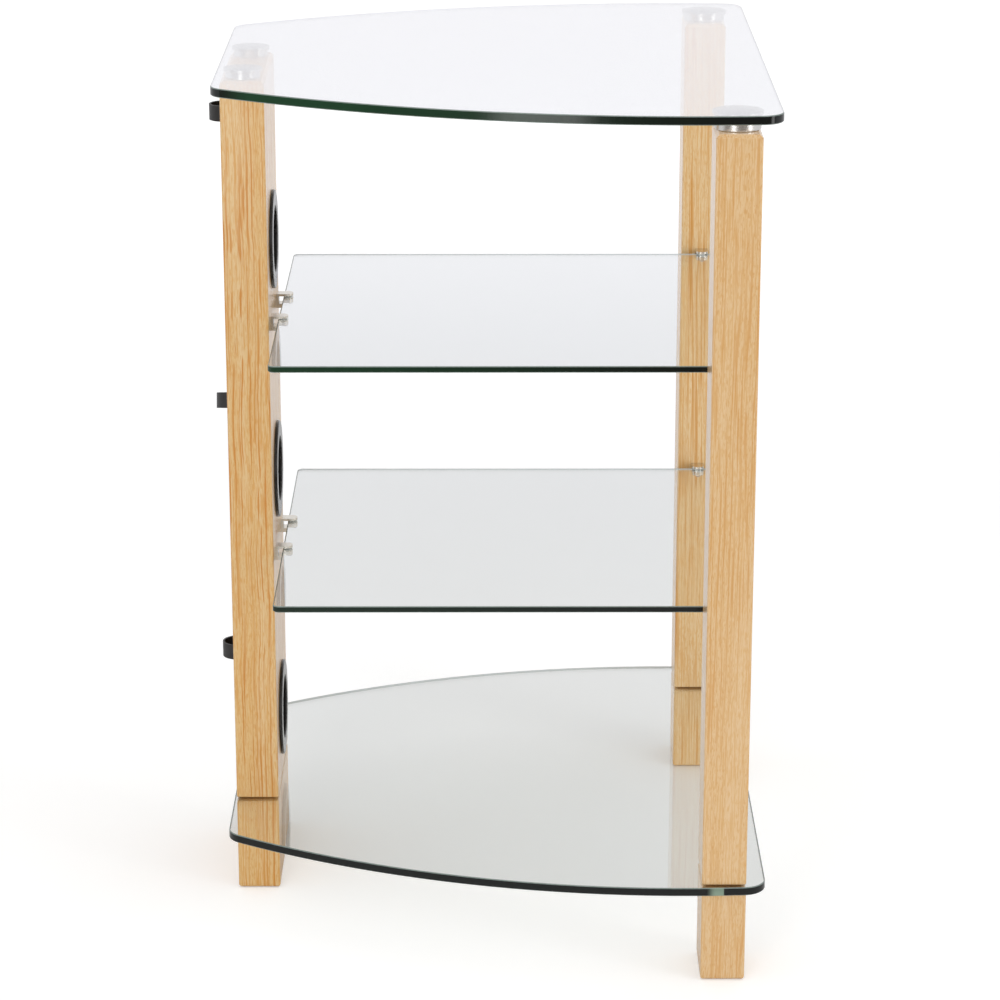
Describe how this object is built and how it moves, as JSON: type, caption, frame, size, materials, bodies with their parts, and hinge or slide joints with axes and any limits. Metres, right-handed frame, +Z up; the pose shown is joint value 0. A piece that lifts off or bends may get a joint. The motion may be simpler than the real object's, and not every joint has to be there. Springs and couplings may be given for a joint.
{
  "type": "hi-fi rack",
  "caption": "Free-standing hi-fi rack with oak front legs and a wide oak rear spine, bowed clear glass top and base, clamped rectangular glass shelves, cable ports and swivelling cable loops.",
  "frame": {"origin": "on the floor under the middle of the rack's bounding box", "axes": "+Z up, +Y towards the rear spine so the open front faces -Y, +X to the rack's right as seen from the front"},
  "size_m": [0.5706, 0.5066, 0.796],
  "materials": {
    "oak": "light oak veneer under satin lacquer",
    "clear_glass": "clear toughened glass with polished green edges",
    "aluminium": "turned and polished",
    "chrome": "satin plated",
    "steel": "zinc plated",
    "brass": "machined",
    "rubber": "matt brown",
    "clear_plastic": "clear soft plastic",
    "black_gloss": "moulded black",
    "black_matte": "moulded black"
  },
  "bodies": {
    "rack": {"spine_column": "oak", "left_leg": "oak", "right_leg": "oak", "spine_foot": "oak", "left_foot": "oak", "right_foot": "oak", "top_glass": "clear_glass", "base_glass": "clear_glass", "upper_shelf": "clear_glass", "lower_shelf": "clear_glass", "left_top_support": "aluminium", "right_top_support": "aluminium", "spine_left_top_support": "aluminium", "spine_right_top_support": "aluminium", "top_support_studs": "steel", "top_stud_inserts": "brass", "foot_bolts": "steel", "foot_bolt_washers": "steel", "foot_bolt_inserts": "brass", "base_glass_bushes": "clear_plastic", "leg_gaskets": "rubber", "foot_gaskets": "rubber", "upper_clip_spine_left": "chrome", "upper_clip_spine_right": "chrome", "upper_clip_leg_left": "chrome", "upper_clip_leg_right": "chrome", "lower_clip_spine_left": "chrome", "lower_clip_spine_right": "chrome", "lower_clip_leg_left": "chrome", "lower_clip_leg_right": "chrome", "upper_clip_pads": "clear_plastic", "lower_clip_pads": "clear_plastic", "upper_clip_clamp_screws": "steel", "lower_clip_clamp_screws": "steel", "upper_clip_fixing_screws": "steel", "lower_clip_fixing_screws": "steel", "upper_port_front": "black_gloss", "upper_port_rear": "black_gloss", "middle_port_front": "black_gloss", "middle_port_rear": "black_gloss", "lower_port_front": "black_gloss", "lower_port_rear": "black_gloss", "cable_loop_screws": "steel"},
    "upper_loop": {"upper_cable_loop": "black_matte"},
    "middle_loop": {"middle_cable_loop": "black_matte"},
    "lower_loop": {"lower_cable_loop": "black_matte"}
  },
  "joints": [
    {"name": "upper_loop_swivel", "type": "hinge", "parent": "rack", "child": "upper_loop", "pos_m": [0.021, 0.23785, 0.744], "axis": [0, 1, 0], "continuous": true},
    {"name": "middle_loop_swivel", "type": "hinge", "parent": "rack", "child": "middle_loop", "pos_m": [0.021, 0.23785, 0.461], "axis": [0, 1, 0], "range_deg": [-31, 215]},
    {"name": "lower_loop_swivel", "type": "hinge", "parent": "rack", "child": "lower_loop", "pos_m": [0.021, 0.23785, 0.219], "axis": [0, 1, 0], "range_deg": [-14, 232]}
  ]
}
